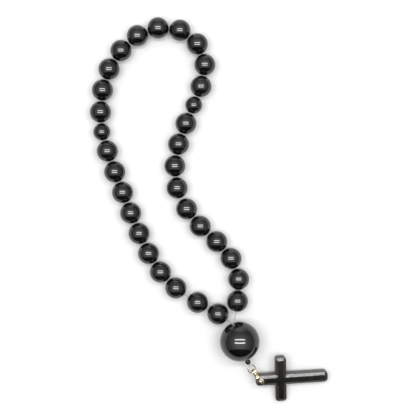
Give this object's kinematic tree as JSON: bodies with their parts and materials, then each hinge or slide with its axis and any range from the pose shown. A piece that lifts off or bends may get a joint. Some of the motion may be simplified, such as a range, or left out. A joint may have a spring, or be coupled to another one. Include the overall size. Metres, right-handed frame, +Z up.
{
  "type": "rosary",
  "caption": "Loop of round black beads on one thin cord, closed by a large bead, with a seed bead, jump ring, pinch bail and bevelled black cross.",
  "frame": {"origin": "middle of the rosary's outline on the table top that it lies on", "axes": "+Z up from the table top, +Y from the cross towards the far end of the bead loop, +X along the cross's long arm"},
  "size_m": [0.108, 0.1746, 0.0179],
  "materials": {
    "bead_stone": "opaque black stone, polished",
    "cross_stone": "opaque black stone, polished, with ground bevels",
    "seed_glass": "opaque black glass, glossy",
    "cord_nylon": "thin grey nylon beading cord",
    "ring_silver": "silver-plated wire",
    "bail_pale_gold": "pale gold plate, slightly worn"
  },
  "bodies": {
    "cord": {"cord": "cord_nylon", "cord_knot": "cord_nylon"},
    "bead_01": {"bead_01": "bead_stone"},
    "bead_02": {"bead_02": "bead_stone"},
    "bead_03": {"bead_03": "bead_stone"},
    "bead_04": {"bead_04": "bead_stone"},
    "bead_05": {"bead_05": "bead_stone"},
    "bead_06": {"bead_06": "bead_stone"},
    "bead_07": {"bead_07": "bead_stone"},
    "bead_08": {"bead_08": "bead_stone"},
    "bead_09": {"bead_09": "bead_stone"},
    "bead_10": {"bead_10": "bead_stone"},
    "bead_11": {"bead_11": "bead_stone"},
    "bead_12": {"bead_12": "bead_stone"},
    "bead_13": {"bead_13": "bead_stone"},
    "bead_14": {"bead_14": "bead_stone"},
    "bead_15": {"bead_15": "bead_stone"},
    "bead_16": {"bead_16": "bead_stone"},
    "bead_17": {"bead_17": "bead_stone"},
    "bead_18": {"bead_18": "bead_stone"},
    "bead_19": {"bead_19": "bead_stone"},
    "bead_20": {"bead_20": "bead_stone"},
    "bead_21": {"bead_21": "bead_stone"},
    "bead_22": {"bead_22": "bead_stone"},
    "bead_23": {"bead_23": "bead_stone"},
    "bead_24": {"bead_24": "bead_stone"},
    "bead_25": {"bead_25": "bead_stone"},
    "bead_26": {"bead_26": "bead_stone"},
    "bead_27": {"bead_27": "bead_stone"},
    "bead_28": {"bead_28": "bead_stone"},
    "bead_29": {"bead_29": "bead_stone"},
    "bead_30": {"bead_30": "bead_stone"},
    "bead_31": {"bead_31": "bead_stone"},
    "bead_32": {"bead_32": "bead_stone"},
    "large_bead": {"large_bead": "bead_stone"},
    "seed_bead": {"seed_bead": "seed_glass"},
    "jump_ring": {"jump_ring": "ring_silver"},
    "bail": {"bail": "bail_pale_gold"},
    "cross": {"cross": "cross_stone"}
  },
  "joints": [
    {"name": "bead_01_spin", "type": "hinge", "parent": "cord", "child": "bead_01", "pos_m": [0.00402, -0.0474, 0.00485], "axis": [-0.8092, 0.4719, -0.35], "continuous": true},
    {"name": "bead_02_spin", "type": "hinge", "parent": "cord", "child": "bead_02", "pos_m": [-0.00524, -0.04215, 0.00485], "axis": [-0.8507, 0.5257, 0], "continuous": true},
    {"name": "bead_03_spin", "type": "hinge", "parent": "cord", "child": "bead_03", "pos_m": [-0.0151, -0.03559, 0.00485], "axis": [-0.7747, 0.6323, 0], "continuous": true},
    {"name": "bead_04_spin", "type": "hinge", "parent": "cord", "child": "bead_04", "pos_m": [-0.02213, -0.02837, 0.00485], "axis": [-0.6215, 0.7834, 0], "continuous": true},
    {"name": "bead_05_spin", "type": "hinge", "parent": "cord", "child": "bead_05", "pos_m": [-0.02752, -0.01993, 0.00485], "axis": [-0.4833, 0.8754, 0], "continuous": true},
    {"name": "bead_06_spin", "type": "hinge", "parent": "cord", "child": "bead_06", "pos_m": [-0.03181, -0.01083, 0.00485], "axis": [-0.4047, 0.9145, 0], "continuous": true},
    {"name": "bead_07_spin", "type": "hinge", "parent": "cord", "child": "bead_07", "pos_m": [-0.03566, -0.00153, 0.00485], "axis": [-0.3738, 0.9275, 0], "continuous": true},
    {"name": "bead_08_spin", "type": "hinge", "parent": "cord", "child": "bead_08", "pos_m": [-0.03932, 0.00781, 0.00485], "axis": [-0.3605, 0.9328, 0], "continuous": true},
    {"name": "bead_09_spin", "type": "hinge", "parent": "cord", "child": "bead_09", "pos_m": [-0.04289, 0.01718, 0.00485], "axis": [-0.3457, 0.9383, 0], "continuous": true},
    {"name": "bead_10_spin", "type": "hinge", "parent": "cord", "child": "bead_10", "pos_m": [-0.04626, 0.02663, 0.00485], "axis": [-0.3073, 0.9516, 0], "continuous": true},
    {"name": "bead_11_spin", "type": "hinge", "parent": "cord", "child": "bead_11", "pos_m": [-0.04876, 0.03534, 0.00485], "axis": [-0.173, 0.9849, 0], "continuous": true},
    {"name": "bead_12_spin", "type": "hinge", "parent": "cord", "child": "bead_12", "pos_m": [-0.04938, 0.04439, 0.00485], "axis": [0.0164, 0.9999, 0], "continuous": true},
    {"name": "bead_13_spin", "type": "hinge", "parent": "cord", "child": "bead_13", "pos_m": [-0.04844, 0.05437, 0.00485], "axis": [0.196, 0.9806, 0], "continuous": true},
    {"name": "bead_14_spin", "type": "hinge", "parent": "cord", "child": "bead_14", "pos_m": [-0.04547, 0.06392, 0.00485], "axis": [0.4234, 0.906, 0], "continuous": true},
    {"name": "bead_15_spin", "type": "hinge", "parent": "cord", "child": "bead_15", "pos_m": [-0.04005, 0.07233, 0.00485], "axis": [0.6473, 0.7622, 0], "continuous": true},
    {"name": "bead_16_spin", "type": "hinge", "parent": "cord", "child": "bead_16", "pos_m": [-0.03259, 0.07909, 0.00485], "axis": [0.8537, 0.5208, 0], "continuous": true},
    {"name": "bead_17_spin", "type": "hinge", "parent": "cord", "child": "bead_17", "pos_m": [-0.0232, 0.08261, 0.00485], "axis": [0.992, 0.1262, 0], "continuous": true},
    {"name": "bead_18_spin", "type": "hinge", "parent": "cord", "child": "bead_18", "pos_m": [-0.01325, 0.08155, 0.00485], "axis": [0.9258, -0.378, 0], "continuous": true},
    {"name": "bead_19_spin", "type": "hinge", "parent": "cord", "child": "bead_19", "pos_m": [-0.00535, 0.07532, 0.00485], "axis": [0.5857, -0.8105, 0], "continuous": true},
    {"name": "bead_20_spin", "type": "hinge", "parent": "cord", "child": "bead_20", "pos_m": [-0.00195, 0.06591, 0.00485], "axis": [0.0858, -0.9963, 0], "continuous": true},
    {"name": "bead_21_spin", "type": "hinge", "parent": "cord", "child": "bead_21", "pos_m": [-0.00368, 0.05602, 0.00485], "axis": [-0.2639, -0.9645, 0], "continuous": true},
    {"name": "bead_22_spin", "type": "hinge", "parent": "cord", "child": "bead_22", "pos_m": [-0.00698, 0.04755, 0.00485], "axis": [-0.3772, -0.9261, 0], "continuous": true},
    {"name": "bead_23_spin", "type": "hinge", "parent": "cord", "child": "bead_23", "pos_m": [-0.01054, 0.03919, 0.00485], "axis": [-0.3631, -0.9317, 0], "continuous": true},
    {"name": "bead_24_spin", "type": "hinge", "parent": "cord", "child": "bead_24", "pos_m": [-0.01391, 0.02975, 0.00485], "axis": [-0.2519, -0.9678, 0], "continuous": true},
    {"name": "bead_25_spin", "type": "hinge", "parent": "cord", "child": "bead_25", "pos_m": [-0.01557, 0.01988, 0.00485], "axis": [-0.0321, -0.9995, 0], "continuous": true},
    {"name": "bead_26_spin", "type": "hinge", "parent": "cord", "child": "bead_26", "pos_m": [-0.01455, 0.00986, 0.00485], "axis": [0.2638, -0.9646, 0], "continuous": true},
    {"name": "bead_27_spin", "type": "hinge", "parent": "cord", "child": "bead_27", "pos_m": [-0.01022, 0.00033, 0.00485], "axis": [0.518, -0.8554, 0], "continuous": true},
    {"name": "bead_28_spin", "type": "hinge", "parent": "cord", "child": "bead_28", "pos_m": [-0.00402, -0.00752, 0.00485], "axis": [0.6775, -0.7355, 0], "continuous": true},
    {"name": "bead_29_spin", "type": "hinge", "parent": "cord", "child": "bead_29", "pos_m": [0.00347, -0.01453, 0.00485], "axis": [0.6904, -0.7234, 0], "continuous": true},
    {"name": "bead_30_spin", "type": "hinge", "parent": "cord", "child": "bead_30", "pos_m": [0.00995, -0.02216, 0.00485], "axis": [0.5038, -0.8638, 0], "continuous": true},
    {"name": "bead_31_spin", "type": "hinge", "parent": "cord", "child": "bead_31", "pos_m": [0.01342, -0.0316, 0.00485], "axis": [0.1511, -0.9885, 0], "continuous": true},
    {"name": "bead_32_spin", "type": "hinge", "parent": "cord", "child": "bead_32", "pos_m": [0.01292, -0.04161, 0.00485], "axis": [-0.126, -0.937, 0.3259], "continuous": true},
    {"name": "large_bead_spin", "type": "hinge", "parent": "cord", "child": "large_bead", "pos_m": [0.01382, -0.0594, 0.009], "axis": [0.3439, -0.8867, -0.309], "continuous": true},
    {"name": "seed_bead_spin", "type": "hinge", "parent": "cord", "child": "seed_bead", "pos_m": [0.01754, -0.06898, 0.00566], "axis": [0.3439, -0.8867, -0.309], "continuous": true},
    {"name": "jump_ring_swing", "type": "hinge", "parent": "cord", "child": "jump_ring", "pos_m": [0.01838, -0.07115, 0.00491], "axis": [-0.766, -0.6428, 0], "range_deg": [-40, 40]},
    {"name": "bail_swing", "type": "hinge", "parent": "jump_ring", "child": "bail", "pos_m": [0.02035, -0.0735, 0.00659], "axis": [-0.766, -0.6428, 0], "range_deg": [-40, 40]},
    {"name": "cross_swing", "type": "hinge", "parent": "bail", "child": "cross", "pos_m": [0.0231, -0.07713, 0.00541], "axis": [0.0792, -0.255, 0.9637], "range_deg": [-120, 8]}
  ]
}
